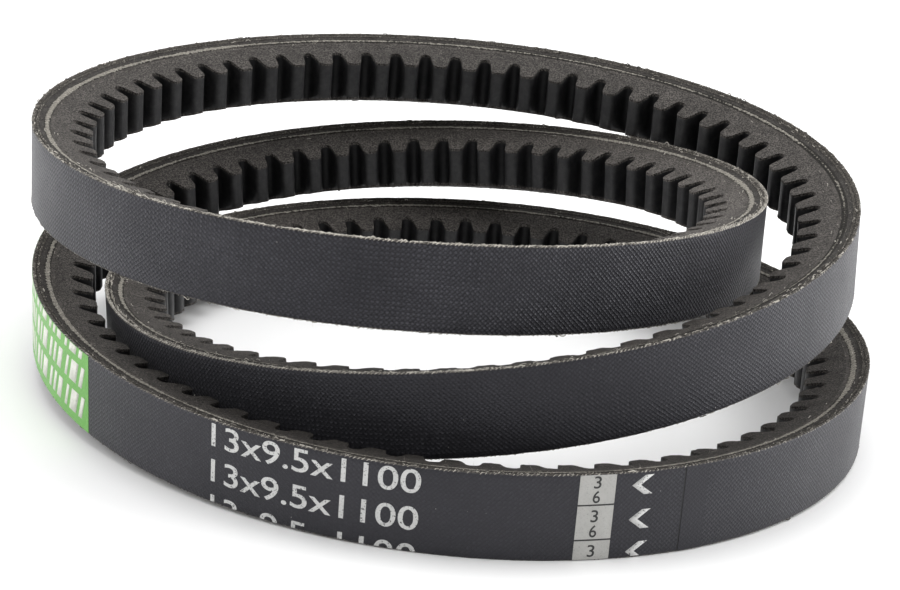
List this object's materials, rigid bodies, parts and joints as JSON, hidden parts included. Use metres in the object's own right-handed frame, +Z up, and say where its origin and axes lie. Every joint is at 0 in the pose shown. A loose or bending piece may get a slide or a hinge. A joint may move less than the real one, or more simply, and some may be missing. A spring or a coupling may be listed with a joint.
{
  "type": "v belt",
  "caption": "Endless raw-edge V-belt with moulded cogs on its inner side and woven backing fabric, coiled in laps for storage.",
  "frame": {"origin": "on the ground, under the middle of the coil's bounding box", "axes": "+Z up, out of the coil's open side; +X to the right of the coil's front, where the code panel is; +Y to its back"},
  "size_m": [0.1357, 0.1333, 0.0421],
  "materials": {
    "backing_fabric": "rubberised bias-woven cotton, charcoal, slight sheen",
    "inner_fabric": "rubberised bias-woven cotton, cut edge with pale thread ends",
    "cushion_rubber": "ground, matte",
    "polyester_cord": "twisted cord, cut open at the flanks, pale beige",
    "gum_rubber": "ground, matte",
    "fibre_loaded_rubber": "ground flanks with short fibres, smooth moulded cogs",
    "label_film": "printed transfer label, green, satin",
    "panel_film": "printed panel, pale grey"
  },
  "bodies": {
    "root": {"outer_backing_fabric": "backing_fabric", "inner_backing_fabric": "inner_fabric", "cushion_rubber": "cushion_rubber", "tensile_cord": "polyester_cord", "cord_gum": "gum_rubber", "adhesion_rubber": "gum_rubber", "compression_rubber": "fibre_loaded_rubber", "transfer_label": "label_film", "code_panel": "panel_film", "fabric_splice": "backing_fabric"}
  },
  "joints": []
}
